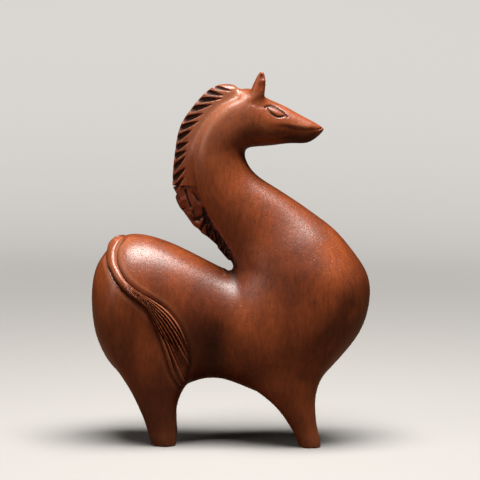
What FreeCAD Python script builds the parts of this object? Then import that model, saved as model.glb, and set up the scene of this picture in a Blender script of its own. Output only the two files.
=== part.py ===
import FreeCAD, Part

import math
import os

from FreeCAD import Vector

# A carved wooden horse, standing, with its head to the right. X runs from tail to nose,
# Y from the horse's right side (negative) to its left side, and Z up from the ground.
# The origin is on the ground below the middle. All lengths are in millimetres.

# The whole carving
LENGTH = 188.4
HEIGHT = 250.0
HALF_WIDTH = 37.0

# The four legs
FOOT_SPREAD = 18.0
HIND_FOOT_WIDTH = 14.5
FORE_FOOT_WIDTH = 13.5

# The ears, each with a round tenon in the head
EAR_SPREAD = 7.5
EAR_ROOT_LENGTH = 10.2
EAR_ROOT_WIDTH = 7.4
TENON_DIAMETER = 4.0
TENON_DEPTH = 8.0

# The mane, a blade along the crest with a tongue in a groove
MANE_ROOT_WIDTH = 13.0
TONGUE_WIDTH = 5.0
NOTCH_WIDTH = 4.2
NOTCH_WEB = 2.4
NOTCH_RISE = 0.8

# The tail, let into the right haunch
TAIL_PROUD = 2.4
TAIL_LET_IN = 2.0
STRAND_GROOVE_WIDTH = 0.9
STRAND_GROOVE_DEPTH = 1.1

# The hidden dowels between the two halves
DOWEL_DIAMETER = 8.0
DOWEL_LENGTH = 26.0

# Gaps and overruns
CLEARANCE = 0.15
BLIND_END = 0.5
OVERRUN = 5.0

# Trunk, neck and head, one row for each section from rump to nose: the section's upper end
# and lower end in the side view, its half width, and how far down it is fullest. X shares are
# of LENGTH from the middle, Z shares of HEIGHT, and width shares of HALF_WIDTH.
RUMP_TIP_SHARES = (-0.495, 0.387)
TRUNK_SHARES = (
    (-0.495, 0.414, -0.494, 0.363, 0.23, 0.50),
    (-0.486, 0.460, -0.485, 0.295, 0.47, 0.50),
    (-0.462, 0.494, -0.459, 0.246, 0.66, 0.50),
    (-0.432, 0.524, -0.429, 0.206, 0.81, 0.49),
    (-0.390, 0.552, -0.386, 0.179, 0.91, 0.48),
    (-0.333, 0.559, -0.328, 0.160, 0.95, 0.47),
    (-0.269, 0.550, -0.264, 0.150, 0.93, 0.46),
    (-0.201, 0.532, -0.192, 0.145, 0.89, 0.46),
    (-0.136, 0.509, -0.135, 0.158, 0.84, 0.47),
    (-0.079, 0.488, -0.077, 0.170, 0.80, 0.49),
    (-0.036, 0.472, -0.013, 0.166, 0.80, 0.52),
    (-0.007, 0.464, 0.070, 0.144, 0.85, 0.55),
    (0.002, 0.463, 0.168, 0.121, 0.92, 0.58),
    (0.006, 0.464, 0.272, 0.138, 0.97, 0.60),
    (0.007, 0.466, 0.371, 0.212, 1.00, 0.61),
    (0.008, 0.468, 0.448, 0.280, 1.00, 0.61),
    (0.008, 0.470, 0.488, 0.348, 0.99, 0.60),
    (0.008, 0.471, 0.499, 0.415, 0.96, 0.59),
    (0.008, 0.474, 0.482, 0.468, 0.92, 0.57),
    (0.005, 0.478, 0.434, 0.520, 0.85, 0.55),
    (-0.002, 0.489, 0.375, 0.573, 0.76, 0.53),
    (-0.019, 0.508, 0.313, 0.609, 0.66, 0.52),
    (-0.044, 0.536, 0.253, 0.641, 0.58, 0.51),
    (-0.073, 0.569, 0.192, 0.671, 0.53, 0.50),
    (-0.102, 0.601, 0.138, 0.696, 0.49, 0.50),
    (-0.128, 0.635, 0.092, 0.718, 0.46, 0.50),
    (-0.148, 0.671, 0.062, 0.742, 0.44, 0.50),
    (-0.161, 0.713, 0.049, 0.761, 0.43, 0.50),
    (-0.166, 0.759, 0.044, 0.773, 0.42, 0.50),
    (-0.160, 0.802, 0.045, 0.782, 0.41, 0.50),
    (-0.136, 0.847, 0.045, 0.788, 0.41, 0.52),
    (-0.100, 0.890, 0.052, 0.792, 0.41, 0.54),
    (-0.051, 0.924, 0.061, 0.795, 0.40, 0.56),
    (0.005, 0.945, 0.077, 0.797, 0.39, 0.57),
    (0.062, 0.953, 0.097, 0.798, 0.38, 0.57),
    (0.105, 0.933, 0.122, 0.800, 0.37, 0.56),
    (0.140, 0.920, 0.148, 0.802, 0.34, 0.56),
    (0.180, 0.908, 0.182, 0.806, 0.30, 0.56),
    (0.223, 0.890, 0.219, 0.808, 0.25, 0.55),
    (0.262, 0.875, 0.256, 0.808, 0.21, 0.54),
    (0.291, 0.864, 0.286, 0.817, 0.16, 0.52),
    (0.314, 0.854, 0.314, 0.835, 0.09, 0.50),
)
NOSE_TIP_SHARES = (0.325, 0.847)
HAUNCH_ROWS = 14

# Legs, one row for each level from the sole up: its height, back and front edge in the side
# view, and how far the inner and the outer side have moved from the foot's to the hip's place.
HIND_LEG_SHARES = (
    (0.000, -0.267, -0.188, 0.00, 0.00),
    (0.013, -0.279, -0.187, 0.03, 0.06),
    (0.054, -0.298, -0.187, 0.08, 0.20),
    (0.094, -0.319, -0.186, 0.15, 0.38),
    (0.134, -0.348, -0.172, 0.40, 0.58),
    (0.174, -0.381, -0.141, 0.80, 0.76),
    (0.220, -0.420, -0.131, 1.00, 0.90),
    (0.276, -0.460, -0.135, 1.00, 0.98),
    (0.340, -0.478, -0.158, 1.00, 0.98),
    (0.393, -0.468, -0.208, 1.00, 0.85),
)
FORE_LEG_SHARES = (
    (0.000, 0.250, 0.327, 0.00, 0.00),
    (0.018, 0.241, 0.324, 0.03, 0.06),
    (0.050, 0.215, 0.315, 0.08, 0.18),
    (0.085, 0.185, 0.308, 0.15, 0.34),
    (0.120, 0.141, 0.307, 0.35, 0.52),
    (0.151, 0.084, 0.314, 0.70, 0.68),
    (0.186, 0.071, 0.329, 1.00, 0.82),
    (0.224, 0.063, 0.364, 1.00, 0.92),
    (0.264, 0.069, 0.402, 1.00, 0.98),
    (0.313, 0.086, 0.425, 1.00, 0.98),
    (0.367, 0.120, 0.427, 1.00, 0.85),
)
HIP_OUTER_SHARE = 0.93
HIP_INNER_SHARE = -0.10
LEG_TIP_RISE_SHARE = 0.04

# Ears: centre in the side view, and size as a share of the root's
EAR_SHARES = (
    (0.074, 0.908, 0.66, 0.75),
    (0.077, 0.922, 0.92, 0.95),
    (0.082, 0.935, 1.00, 1.00),
    (0.086, 0.948, 0.94, 0.88),
    (0.089, 0.957, 0.86, 0.76),
    (0.092, 0.967, 0.76, 0.66),
    (0.095, 0.977, 0.62, 0.55),
    (0.097, 0.988, 0.46, 0.42),
    (0.099, 0.996, 0.27, 0.28),
)
EAR_TIP_SHARES = (0.101, 1.001)
TENON_TOP_SHARE = 0.945
TENON_X_SHARE = 0.101

# Mane: outer edge and root line in the side view, from the forelock to the saddle, and how
# thick the blade is there
MANE_SHARES = (
    (0.020, 0.951, 0.023, 0.937, 0.80),
    (-0.002, 0.962, 0.000, 0.931, 1.00),
    (-0.041, 0.963, -0.031, 0.918, 1.00),
    (-0.080, 0.952, -0.054, 0.904, 1.00),
    (-0.117, 0.927, -0.078, 0.887, 1.00),
    (-0.152, 0.894, -0.103, 0.861, 1.00),
    (-0.181, 0.861, -0.120, 0.834, 1.00),
    (-0.196, 0.828, -0.132, 0.805, 1.00),
    (-0.204, 0.789, -0.139, 0.775, 1.00),
    (-0.210, 0.749, -0.140, 0.743, 1.00),
    (-0.213, 0.710, -0.136, 0.714, 1.00),
    (-0.211, 0.681, -0.128, 0.687, 1.00),
    (-0.194, 0.642, -0.114, 0.658, 1.00),
    (-0.163, 0.606, -0.092, 0.626, 1.00),
    (-0.121, 0.572, -0.070, 0.594, 1.00),
    (-0.077, 0.546, -0.041, 0.561, 0.95),
    (-0.038, 0.514, -0.012, 0.527, 0.90),
    (-0.009, 0.489, 0.010, 0.497, 0.80),
    (0.007, 0.468, 0.021, 0.476, 0.60),
)
MANE_FULLEST_SHARE = 0.78
MANE_BREAK_SHARE = 0.690
TONGUE_TOP_SHARE = 0.5
NOTCH_SHARES = (
    (-0.066, 0.956, -0.005, 0.943),
    (-0.098, 0.942, -0.033, 0.932),
    (-0.123, 0.919, -0.046, 0.924),
    (-0.150, 0.894, -0.076, 0.908),
    (-0.172, 0.867, -0.106, 0.884),
    (-0.192, 0.842, -0.120, 0.864),
    (-0.198, 0.815, -0.145, 0.840),
    (-0.202, 0.790, -0.157, 0.808),
    (-0.206, 0.767, -0.163, 0.785),
    (-0.209, 0.735, -0.167, 0.769),
    (-0.210, 0.706, -0.164, 0.741),
    (-0.208, 0.679, -0.168, 0.717),
    (-0.112, 0.570, -0.085, 0.624),
    (-0.087, 0.552, -0.059, 0.595),
    (-0.062, 0.530, -0.038, 0.563),
    (-0.039, 0.514, -0.018, 0.539),
    (-0.019, 0.499, 0.002, 0.518),
)

# Tail: outer and inner edge of the strap and fan in the side view, and the fan's tips
TAIL_OUTER_SHARES = (
    (-0.402, 0.555), (-0.417, 0.550), (-0.432, 0.535), (-0.436, 0.517), (-0.436, 0.497),
    (-0.427, 0.478), (-0.397, 0.442), (-0.359, 0.413), (-0.320, 0.391), (-0.290, 0.369),
    (-0.274, 0.332), (-0.256, 0.287), (-0.235, 0.241), (-0.207, 0.197),
)
TAIL_INNER_SHARES = (
    (-0.381, 0.556), (-0.390, 0.547), (-0.403, 0.531), (-0.408, 0.515), (-0.405, 0.495),
    (-0.394, 0.475), (-0.367, 0.445), (-0.324, 0.419), (-0.271, 0.396), (-0.222, 0.370),
    (-0.184, 0.334), (-0.159, 0.294), (-0.144, 0.262),
)
TAIL_TIP_SHARES = ((-0.141, 0.238), (-0.151, 0.216), (-0.177, 0.188))
STRANDS = 9
STRAND_START_SHARE = 0.62
STRAND_STEPS = 6

# Dowel centres in the side view
DOWEL_SHARES = ((-0.310, 0.400), (0.270, 0.420), (0.050, 0.630))

# How finely sections are described
HALF = 0.5
RING_STEPS = 20
CUBIC = 3
RING_SWELL = 3 / (2 + math.cos(2 * math.pi / RING_STEPS))


def place(x_share, z_share):
    """A point of the side view on the centre plane."""
    return Vector(x_share * LENGTH, 0, z_share * HEIGHT)


def places(shares):
    return [place(x_share, z_share) for x_share, z_share in shares]


def blend(first, last, share):
    return first + (last - first) * share


def ring(top, foot, half_width, fullest_share):
    """Poles round an egg-shaped section that reaches from top to foot and out to both sides."""
    down = foot - top
    poles = []
    for step in range(RING_STEPS):
        angle = 2 * math.pi * (step + HALF) / RING_STEPS
        reach = RING_SWELL * math.cos(angle)
        out = RING_SWELL * math.sin(angle) * half_width
        part_share = fullest_share if reach > 0 else 1 - fullest_share
        poles.append(top + down * (fullest_share - part_share * reach) + Vector(0, out, 0))
    return poles


def lean_out(rings):
    """Move the inner rings outward, so that the smooth skin meets the sections."""
    moved = [rings[0]]
    for before, row, after in zip(rings, rings[1:], rings[2:]):
        moved.append([p + (p * 2 - a - b) / 6 for a, p, b in zip(before, row, after)])
    return moved + [rings[-1]]


def skin(rings):
    """A smooth solid along the rings, with a flat face on each end that isn't a point."""
    rings = lean_out(rings)
    spans = len(rings) - CUBIC
    surface = Part.BSplineSurface()
    surface.buildFromPolesMultsKnots(
        rings,
        [CUBIC + 1] + [1] * (spans - 1) + [CUBIC + 1],
        [1] * (RING_STEPS + 1),
        list(range(spans + 1)),
        list(range(RING_STEPS + 1)),
        False,
        True,
        CUBIC,
        CUBIC,
    )
    faces = [surface.toShape()]
    for row, limit in ((rings[0], 0), (rings[-1], spans)):
        if (row[0] - row[1]).Length > 0:
            faces.append(Part.Face(Part.Wire([surface.uIso(limit).toShape()])))
    shell = Part.Shell(faces[:1])
    if len(faces) > 1:
        sewn = Part.makeCompound(faces)
        sewn.sewShape()
        shell = sewn.Shells[0]
    solid = Part.Solid(shell)
    if solid.Volume < 0:
        solid.reverse()
    return solid


def point_ring(point):
    """A ring of poles that all lie on one point, where a solid ends."""
    return [point] * RING_STEPS


def middle_of(ring_poles):
    return sum(ring_poles, Vector()) / len(ring_poles)


def beyond(side):
    """Everything on the other side of the centre plane."""
    low_y = 0 if side < 0 else -HEIGHT
    return Part.makeBox(2 * LENGTH, HEIGHT, 2 * HEIGHT, Vector(-LENGTH, low_y, -HEIGHT))


def trunk(grow=0, row_count=len(TRUNK_SHARES)):
    """The trunk, neck and head, or only the first sections, swollen by grow."""
    rings = [point_ring(place(*RUMP_TIP_SHARES))]
    for top_x, top_z, foot_x, foot_z, width_share, fullest_share in TRUNK_SHARES[:row_count]:
        top = place(top_x, top_z)
        foot = place(foot_x, foot_z)
        swell = (foot - top).normalize() * grow
        half_width = width_share * HALF_WIDTH + grow
        rings.append(ring(top - swell, foot + swell, half_width, fullest_share))
    if row_count == len(TRUNK_SHARES):
        rings.append(point_ring(place(*NOSE_TIP_SHARES)))
    return skin(rings)


def leg(side, leg_shares, foot_width, grow=0):
    """A leg that rises into the trunk and ends in a point inside it."""
    rings = []
    for z_share, back_share, front_share, inner_share, outer_share in leg_shares:
        inner = blend(FOOT_SPREAD - foot_width / 2, HIP_INNER_SHARE * HALF_WIDTH, inner_share)
        outer = blend(FOOT_SPREAD + foot_width / 2, HIP_OUTER_SHARE * HALF_WIDTH, outer_share)
        sideways = Vector(0, side * (inner + outer) / 2, 0)
        back = place(back_share, z_share) + sideways
        front = place(front_share, z_share) + sideways
        rings.append(ring(back, front, (outer - inner) / 2 + grow, HALF))
    rings.append(point_ring(middle_of(rings[-1]) + Vector(0, 0, LEG_TIP_RISE_SHARE * HEIGHT)))
    return skin(rings)


def haunch(grow):
    """The right haunch and thigh, swollen by grow: what the tail lies on."""
    hind_leg = leg(-1, HIND_LEG_SHARES, HIND_FOOT_WIDTH, grow)
    return trunk(grow, HAUNCH_ROWS).fuse(hind_leg).cut(beyond(-1))


def prism(edges, low_y, high_y):
    """A slab whose side view the edges bound."""
    face = Part.Face(Part.Wire(Part.__sortEdges__(edges)))
    face.translate(Vector(0, low_y, 0))
    return face.extrude(Vector(0, high_y - low_y, 0))


def spline_edge(points):
    curve = Part.BSplineCurve()
    curve.interpolate(points)
    return curve.toShape()


def tail_slab():
    """The side view of the tail, as a slab through the whole right side."""
    outer = spline_edge(places(TAIL_OUTER_SHARES))
    inner = spline_edge(places(TAIL_INNER_SHARES))
    top = Part.makeLine(place(*TAIL_OUTER_SHARES[0]), place(*TAIL_INNER_SHARES[0]))
    tips = places((TAIL_INNER_SHARES[-1],) + TAIL_TIP_SHARES + (TAIL_OUTER_SHARES[-1],))
    edges = [outer, inner, top] + Part.makePolygon(tips).Edges
    return prism(edges, -HALF_WIDTH - OVERRUN, 0)


def strand_slab(share):
    """A thin curved slab along one groove of the fan."""
    outer = spline_edge(places(TAIL_OUTER_SHARES))
    inner = spline_edge(places(TAIL_INNER_SHARES))
    left = []
    right = []
    for step in range(STRAND_STEPS + 1):
        run = STRAND_START_SHARE + (1 - STRAND_START_SHARE) * step / STRAND_STEPS
        low = outer.valueAt(outer.getParameterByLength(outer.Length * run))
        high = inner.valueAt(inner.getParameterByLength(inner.Length * run))
        across = (high - low).normalize()
        half_width = STRAND_GROOVE_WIDTH / 2 * (1 + step) / (1 + STRAND_STEPS)
        left.append(blend(low, high, share) - across * half_width)
        right.append(blend(low, high, share) + across * half_width)
    onward = (left[-1] - left[-2]) * STRAND_STEPS
    left.append(left[-1] + onward)
    right.append(right[-1] + onward)
    loop = left + right[::-1] + left[:1]
    return prism(Part.makePolygon(loop).Edges, -HALF_WIDTH - OVERRUN, 0)


def tail():
    slab = tail_slab()
    body = slab.common(haunch(TAIL_PROUD)).cut(haunch(-TAIL_LET_IN))
    floor = haunch(TAIL_PROUD - STRAND_GROOVE_DEPTH)
    for strand in range(1, STRANDS):
        body = body.cut(strand_slab(strand / STRANDS).cut(floor))
    return body


def tail_channel():
    return tail_slab().cut(haunch(-TAIL_LET_IN - CLEARANCE))


def mane_blade():
    rings = []
    for edge_x, edge_z, root_x, root_z, width_share in MANE_SHARES:
        edge = place(edge_x, edge_z)
        root = place(root_x, root_z)
        rings.append(ring(edge, root, width_share * MANE_ROOT_WIDTH / 2, MANE_FULLEST_SHARE))
    return skin(rings)


def tongue(gap):
    """The strip of the mane that lies in the groove, with a gap all round for the groove."""
    edge = []
    root = []
    for edge_x, edge_z, root_x, root_z, width_share in MANE_SHARES:
        outer = place(edge_x, edge_z)
        inner = place(root_x, root_z)
        edge.append(blend(outer, inner, TONGUE_TOP_SHARE))
        root.append(inner + (inner - outer).normalize() * gap)
    edges = [spline_edge(edge), spline_edge(root)]
    edges.append(Part.makeLine(edge[0], root[0]))
    edges.append(Part.makeLine(edge[-1], root[-1]))
    half_width = TONGUE_WIDTH / 2 + gap
    return prism(edges, -half_width, half_width)


def notch(edge, point, side):
    """A chisel cut into one side of the mane, wide and deep at the edge, ending in a point."""
    along = (point - edge).normalize()
    across = Vector(-along.z, 0, along.x) * (NOTCH_WIDTH / 2)
    start = edge - along * OVERRUN
    surface = Vector(0, side * (MANE_ROOT_WIDTH / 2 + NOTCH_RISE), 0)
    web = Vector(0, side * NOTCH_WEB / 2, 0)
    mouth = Part.makePolygon(
        [start + across + surface, start - across + surface, start + web, start + across + surface]
    )
    return Part.makeLoft([mouth, Part.Vertex(point + surface)], True, True)


def mane(whole_trunk):
    """The whole mane, seated on the crest."""
    body = mane_blade().cut(whole_trunk).fuse(tongue(0))
    cuts = []
    for edge_x, edge_z, point_x, point_z in NOTCH_SHARES:
        for side in (-1, 1):
            cuts.append(notch(place(edge_x, edge_z), place(point_x, point_z), side))
    return body.cut(cuts)


def above(z_share):
    corner = Vector(-LENGTH, -HEIGHT, z_share * HEIGHT)
    return Part.makeBox(2 * LENGTH, 2 * HEIGHT, HEIGHT, corner)


def tenon(side, gap):
    radius = TENON_DIAMETER / 2 + gap
    foot = place(TENON_X_SHARE, TENON_TOP_SHARE) + Vector(0, side * EAR_SPREAD, -TENON_DEPTH)
    if gap:
        foot.z -= BLIND_END
    top_z = TENON_TOP_SHARE * HEIGHT
    return Part.makeCylinder(radius, top_z - foot.z, foot)


def ear(side, whole_trunk):
    sideways = Vector(0, side * EAR_SPREAD, 0)
    rings = []
    for x_share, z_share, length_share, width_share in EAR_SHARES:
        middle = place(x_share, z_share) + sideways
        half_length = Vector(length_share * EAR_ROOT_LENGTH / 2, 0, 0)
        half_width = width_share * EAR_ROOT_WIDTH / 2
        rings.append(ring(middle - half_length, middle + half_length, half_width, HALF))
    rings.append(point_ring(place(*EAR_TIP_SHARES) + sideways))
    return skin(rings).cut(whole_trunk).fuse(tenon(side, 0))


def dowel(centre, gap):
    length = DOWEL_LENGTH
    if gap:
        length += 2 * BLIND_END
    foot = centre - Vector(0, length / 2, 0)
    return Part.makeCylinder(DOWEL_DIAMETER / 2 + gap, length, foot, Vector(0, 1, 0))


def body_half(side, whole_trunk):
    """One board of the body with its two legs and the seats of what joins it."""
    hind_leg = leg(side, HIND_LEG_SHARES, HIND_FOOT_WIDTH)
    fore_leg = leg(side, FORE_LEG_SHARES, FORE_FOOT_WIDTH)
    body = whole_trunk.fuse([hind_leg, fore_leg]).cut(beyond(side))
    seats = [tongue(CLEARANCE), tenon(side, CLEARANCE)]
    seats += [dowel(centre, CLEARANCE) for centre in places(DOWEL_SHARES)]
    if side < 0:
        seats.append(tail_channel())
    return body.cut(seats)


def write(name, shape):
    solids = shape.Solids
    print(name, len(solids), shape.isValid(), round(shape.Volume))
    Part.makeCompound(solids).exportStep(f"parts/{name}.step")


def main():
    os.makedirs("parts", exist_ok=True)
    whole_trunk = trunk()
    write("right_half", body_half(-1, whole_trunk))
    write("left_half", body_half(1, whole_trunk))
    write("right_ear", ear(-1, whole_trunk))
    write("left_ear", ear(1, whole_trunk))
    whole_mane = mane(whole_trunk)
    upper = above(MANE_BREAK_SHARE)
    write("upper_mane", whole_mane.common(upper))
    write("lower_mane", whole_mane.cut(upper))
    write("tail", tail())
    write("locating_dowels", Part.makeCompound([dowel(c, 0) for c in places(DOWEL_SHARES)]))


main()
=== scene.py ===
"""Dresses the carved wooden horse: finer carving on every piece, polished wood, floor and light."""

import math
from contextlib import contextmanager
from functools import partial

import bmesh
import bpy
import numpy as np
from bpy.props import BoolProperty, FloatProperty, FloatVectorProperty, IntProperty, PointerProperty
from mathutils import Matrix, Vector
from mathutils.bvhtree import BVHTree


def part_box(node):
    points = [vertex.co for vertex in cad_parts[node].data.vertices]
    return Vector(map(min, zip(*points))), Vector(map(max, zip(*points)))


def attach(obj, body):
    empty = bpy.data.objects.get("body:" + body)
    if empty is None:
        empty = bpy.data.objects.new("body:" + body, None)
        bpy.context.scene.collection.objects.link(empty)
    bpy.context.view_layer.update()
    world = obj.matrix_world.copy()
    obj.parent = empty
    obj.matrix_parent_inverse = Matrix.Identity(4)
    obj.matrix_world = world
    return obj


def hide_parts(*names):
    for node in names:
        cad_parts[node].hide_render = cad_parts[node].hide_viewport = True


bl_info = {
    "name": "Carved wooden horse",
    "version": (1, 0, 0),
    "blender": (4, 5, 0),
    "location": "View3D > Sidebar > Horse",
    "description": "Carves and finishes a wooden horse around its fixed frame",
    "category": "Object",
}

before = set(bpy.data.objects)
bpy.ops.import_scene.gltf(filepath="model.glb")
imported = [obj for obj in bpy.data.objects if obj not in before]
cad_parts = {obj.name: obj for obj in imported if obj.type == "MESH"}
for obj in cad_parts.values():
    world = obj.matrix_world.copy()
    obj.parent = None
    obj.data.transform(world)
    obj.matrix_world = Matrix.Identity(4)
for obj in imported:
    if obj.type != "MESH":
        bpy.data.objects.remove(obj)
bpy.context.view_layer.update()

# Lengths are in metres. X runs from tail to nose, Y from the right side to the left, Z up.
MM = 0.001
LENGTH = 188.4 * MM
HEIGHT = 250.0 * MM

# Where the photograph was taken from
CAMERA_DISTANCE = 1.2
CAMERA_AIM = (5.75 * MM, 0.0, 136.5 * MM)
CAMERA_PITCH = math.radians(5.0)
CAMERA_YAW = math.radians(-1.0)
CAMERA_ROLL = math.radians(0.8)
CAMERA_FIELD = math.radians(15.31)

# How far the floor reaches, the radius of its curve, and its colour to all but the camera's rays
FLOOR_REACH = 14.0
FLOOR_BEND = 1.2
FLOOR_REFLECTED = (0.080, 0.046, 0.027)

# What the lamps aim at, and each lamp's place, size and colour
LAMP_AIM = (0.0, 0.0, 0.12)
TOP_LAMP = ((0.06, -0.16, 1.15), (0.85, 0.55), (1.0, 0.97, 0.94))
LEFT_LAMP = ((-1.2, -0.7, 0.75), (0.6, 0.8), (1.0, 0.95, 0.90))

# Light from all round, and how much brighter it is to the camera's own rays
WORLD_COLOR = (1.000, 0.978, 0.941, 1.0)
WORLD_LIGHT = 0.05
WORLD_SEEN = 0.544

# Places in the side view, X as a share of LENGTH from the middle and Z as a share of HEIGHT
UPPER_LID_SHARES = (
    (0.113, 0.904), (0.122, 0.907), (0.134, 0.908), (0.148, 0.905), (0.163, 0.898),
    (0.179, 0.889), (0.191, 0.879),
)
LOWER_LID_SHARES = (
    (0.123, 0.900), (0.129, 0.892), (0.141, 0.884), (0.155, 0.879), (0.168, 0.879), (0.182, 0.882),
)
EYE_SHARES = (0.152, 0.891)
MUZZLE_EDGE_SHARES = (
    (0.317, 0.853), (0.293, 0.851), (0.264, 0.850), (0.236, 0.852), (0.208, 0.855), (0.176, 0.858),
)
MOUTH_SHARES = ((0.322, 0.852), (0.310, 0.848), (0.303, 0.846))
NECK_RIDGE_SHARES = (
    (0.051, 0.927), (0.016, 0.917), (-0.016, 0.904), (-0.043, 0.888), (-0.071, 0.865),
    (-0.095, 0.836), (-0.108, 0.806), (-0.112, 0.772), (-0.108, 0.740), (-0.097, 0.708),
)
NECK_COVE_SHARES = (
    (0.009, 0.929), (-0.023, 0.918), (-0.054, 0.902), (-0.085, 0.878), (-0.109, 0.849),
    (-0.125, 0.817), (-0.131, 0.782), (-0.129, 0.745), (-0.118, 0.708),
)
FLANK_SHARES = (-0.060, 0.262)
CHEST_FOLD_SHARES = (
    (0.422, 0.375), (0.381, 0.327), (0.330, 0.276), (0.286, 0.228), (0.266, 0.188),
)
EAR_CREASE_SHARES = ((0.070, 0.912), (0.086, 0.904), (0.104, 0.905))
EAR_HOLLOW_SHARES = ((0.096, 0.985), (0.095, 0.968), (0.093, 0.950), (0.090, 0.930))
EAR_ROOT_SHARES = (0.078, 0.925)
EAR_FOOT_SHARE = 0.948
EAR_FLARE_SHARES = ((0.074, 0.924), (0.100, 0.975))
GLUE_LINE_SHARES = ((0.17, 0.69), (0.30, 0.63), (0.40, 0.56))

# Cuts between the coarse locks of the lower mane: width in millimetres, then three points
LOCK_SHARES = (
    (1.00, (-0.101, 0.631), (-0.091, 0.596), (-0.083, 0.560)),
    (0.90, (-0.087, 0.607), (-0.074, 0.574), (-0.066, 0.545)),
    (0.80, (-0.067, 0.593), (-0.057, 0.562), (-0.048, 0.528)),
    (0.90, (-0.049, 0.574), (-0.040, 0.543), (-0.031, 0.509)),
    (0.80, (-0.030, 0.555), (-0.021, 0.524), (-0.015, 0.494)),
    (0.80, (-0.010, 0.528), (-0.002, 0.501), (0.003, 0.475)),
    (0.60, (-0.166, 0.680), (-0.158, 0.656), (-0.146, 0.634)),
)

# Half of the width of the worn joint between the boards
JOINT_WIDTH = 0.35 * MM

# How the eyeball slants, and half of its length and of its height
EYE_TILT = math.radians(-27)
EYE_LENGTH = 5.4 * MM
EYE_HEIGHT = 2.0 * MM

# How far across the flare under an ear lies at its foot and its top, and its radii there
EAR_FLARE_ACROSS = (7.0 * MM, 8.0 * MM)
EAR_FLARE_REACH = ((6.6 * MM, 4.6 * MM), (2.6 * MM, 2.4 * MM))

# Outer and inner edge of the tail, from the top of the rump down, and the end of its fan
TAIL_OUTER_SHARES = (
    (-0.402, 0.555), (-0.417, 0.550), (-0.432, 0.535), (-0.436, 0.517), (-0.436, 0.497),
    (-0.427, 0.478), (-0.397, 0.442), (-0.359, 0.413), (-0.320, 0.391), (-0.290, 0.369),
    (-0.269, 0.336), (-0.251, 0.304), (-0.234, 0.269), (-0.218, 0.232), (-0.201, 0.195),
    (-0.174, 0.160),
)
TAIL_INNER_SHARES = (
    (-0.381, 0.556), (-0.390, 0.547), (-0.403, 0.531), (-0.408, 0.515), (-0.405, 0.495),
    (-0.394, 0.475), (-0.367, 0.445), (-0.324, 0.419), (-0.271, 0.396), (-0.222, 0.370),
    (-0.184, 0.334), (-0.159, 0.294), (-0.144, 0.262),
)
TAIL_END_SHARES = (
    (-0.174, 0.160), (-0.160, 0.174), (-0.148, 0.198), (-0.140, 0.225), (-0.144, 0.262),
)

# Outer edge and root line of the mane, from the forelock to the saddle, and its thickness
MANE_SHARES = (
    (0.020, 0.951, 0.023, 0.937, 0.80),
    (-0.002, 0.962, 0.000, 0.931, 1.00),
    (-0.041, 0.963, -0.031, 0.918, 1.00),
    (-0.080, 0.952, -0.054, 0.904, 1.00),
    (-0.117, 0.927, -0.078, 0.887, 1.00),
    (-0.152, 0.894, -0.103, 0.861, 1.00),
    (-0.181, 0.861, -0.120, 0.834, 1.00),
    (-0.196, 0.828, -0.132, 0.805, 1.00),
    (-0.204, 0.789, -0.139, 0.775, 1.00),
    (-0.210, 0.749, -0.140, 0.743, 1.00),
    (-0.213, 0.710, -0.136, 0.714, 1.00),
    (-0.211, 0.681, -0.128, 0.687, 1.00),
    (-0.194, 0.642, -0.114, 0.658, 1.00),
    (-0.163, 0.606, -0.092, 0.626, 1.00),
    (-0.121, 0.572, -0.070, 0.594, 1.00),
    (-0.077, 0.546, -0.041, 0.561, 0.95),
    (-0.038, 0.514, -0.012, 0.527, 0.90),
    (-0.009, 0.489, 0.010, 0.497, 0.80),
    (0.007, 0.468, 0.021, 0.476, 0.60),
)
MANE_ROOT_SHARES = [row[2:4] for row in MANE_SHARES]
MANE_BREAK_SHARE = 0.690

# The mane's thickness, and where on the way from its edge to its root it is reached
MANE_THICKNESS = 13.0 * MM
MANE_FULLEST_SHARE = 0.78

# The lower mane's thickness as a share of the upper's
LOWER_MANE_SHARE = 0.9

# How far a notch's line starts beyond the edge, and lies below the surface, and the web it leaves
NOTCH_START_SHARE = 0.14
NOTCH_SINK = 0.35
WEB = 0.5 * MM

# How deep the mane's and the ears' blanks reach into the body, and how deep the mane's bed is cut
MANE_REACH = 0.9 * MM
EAR_REACH = 0.6 * MM
MANE_BED = 0.4 * MM

# Heights at which the softening of the legs and of the thighs starts, is full, fades and ends
LEG_BAND = (5 * MM, 14 * MM, 95 * MM, 125 * MM)
THIGH_BAND = (22 * MM, 38 * MM, 60 * MM, 84 * MM)

# How deep the tail is let in
TAIL_BED = 2.1 * MM

# Rows and columns of the surfaces that the ears' flare, the mane and the tail start from
EAR_FLARE_GRID = (7, 24)
MANE_GRID = (150, 36)
TAIL_GRID = (280, 150)

# Chiselled wood: its colour and its darker clouds
CUT_COLORS = ((0.24, 0.048, 0.017), (0.09, 0.017, 0.006))

# Dowels: their colour, darker clouds, hollows and rubbed edges
DOWEL_COLORS = ((0.50, 0.31, 0.15), (0.36, 0.20, 0.09), (0.12, 0.06, 0.03), (0.62, 0.42, 0.24))

# The bend from which an edge stays sharp
SHARP_EDGE = math.radians(55)

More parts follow.
